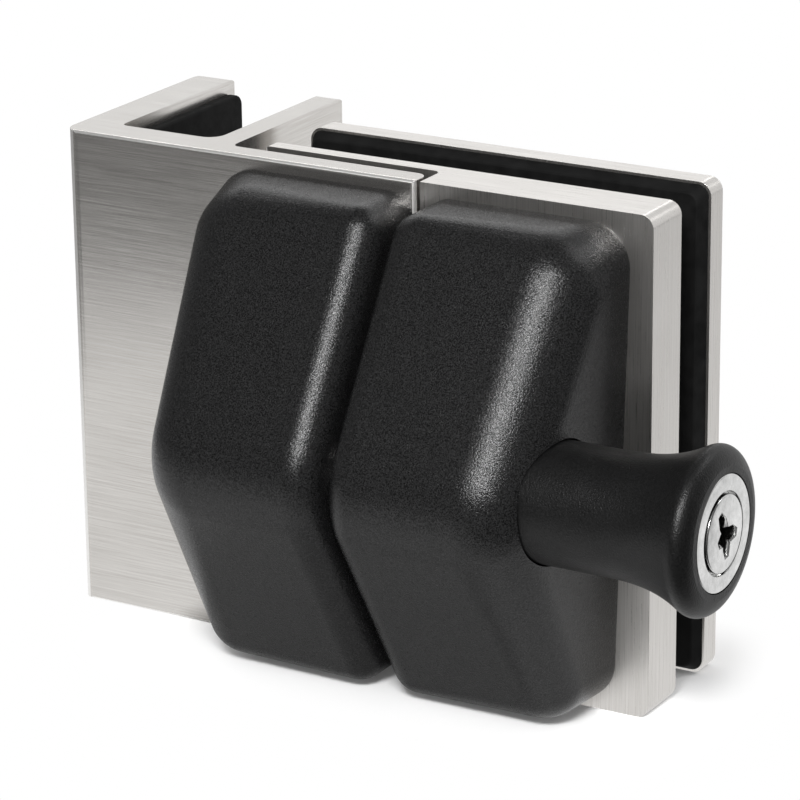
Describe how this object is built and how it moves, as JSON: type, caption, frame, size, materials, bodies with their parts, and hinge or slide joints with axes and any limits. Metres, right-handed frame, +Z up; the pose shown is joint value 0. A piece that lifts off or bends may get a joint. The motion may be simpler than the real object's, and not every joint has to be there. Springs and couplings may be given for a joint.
{
  "type": "glass gate latch",
  "caption": "Corner latch for a glass pool gate: a slotted keep bracket, a clamped gate plate, moulded knee-shaped housings and a key-locked pull knob that draws a sliding bolt.",
  "frame": {"origin": "the fixed glass panel's edge: mid thickness, on the floor of its slot, at the bottom of the plates", "axes": "+X from the keep half towards the knob, +Y from the front face towards the glass, +Z up"},
  "size_m": [0.158, 0.091, 0.1],
  "materials": {
    "brushed_plate": "satin stainless steel with fine straight brushing",
    "gasket_rubber": "matte black",
    "housing_polymer": "black moulded polymer with a fine grain",
    "knob_polymer": "black moulded polymer, smooth satin",
    "bearing_polymer": "dark self-lubricating polymer",
    "sleeve_polymer": "natural polymer",
    "bolt_steel": "fine turned stainless steel",
    "magnet_plating": "nickel plating",
    "screw_steel": "stainless steel",
    "spring_steel": "drawn stainless wire",
    "lock_chrome": "polished plating",
    "cam_brass": "plain brass"
  },
  "bodies": {
    "latch_frame": {"keep_bracket": "brushed_plate", "pressure_plate": "brushed_plate", "gate_plate": "brushed_plate", "rear_plate": "brushed_plate", "outer_glass_gasket": "gasket_rubber", "inner_glass_gasket": "gasket_rubber", "front_gasket": "gasket_rubber", "rear_gasket": "gasket_rubber", "buffer_strip": "gasket_rubber", "keep_housing": "housing_polymer", "latch_housing": "housing_polymer", "bolt_guide": "bearing_polymer", "knob_bush": "bearing_polymer", "glass_bushes": "sleeve_polymer", "strike_bush": "bolt_steel", "magnet_cup": "bolt_steel", "keep_magnet": "magnet_plating", "clamp_screws": "screw_steel", "keep_housing_screws": "screw_steel", "plate_screws": "screw_steel", "latch_housing_screws": "screw_steel", "retract_spring": "spring_steel"},
    "knob": {"pull_knob": "knob_polymer", "latch_bolt": "bolt_steel", "lock_body": "lock_chrome"},
    "key": {"key_plug": "lock_chrome", "lock_cam": "cam_brass", "cam_screw": "screw_steel"}
  },
  "joints": [
    {"name": "knob_pull", "type": "slide", "parent": "latch_frame", "child": "knob", "axis": [1, 0, 0], "range_m": [0, 0.011], "stiffness_N_per_m": 300, "springref_m": -0.02, "deforming": ["retract_spring"]},
    {"name": "key_turn", "type": "hinge", "parent": "knob", "child": "key", "pos_m": [0.14, -0.03, 0.05], "axis": [1, 0, 0], "range_deg": [0, 90]}
  ]
}
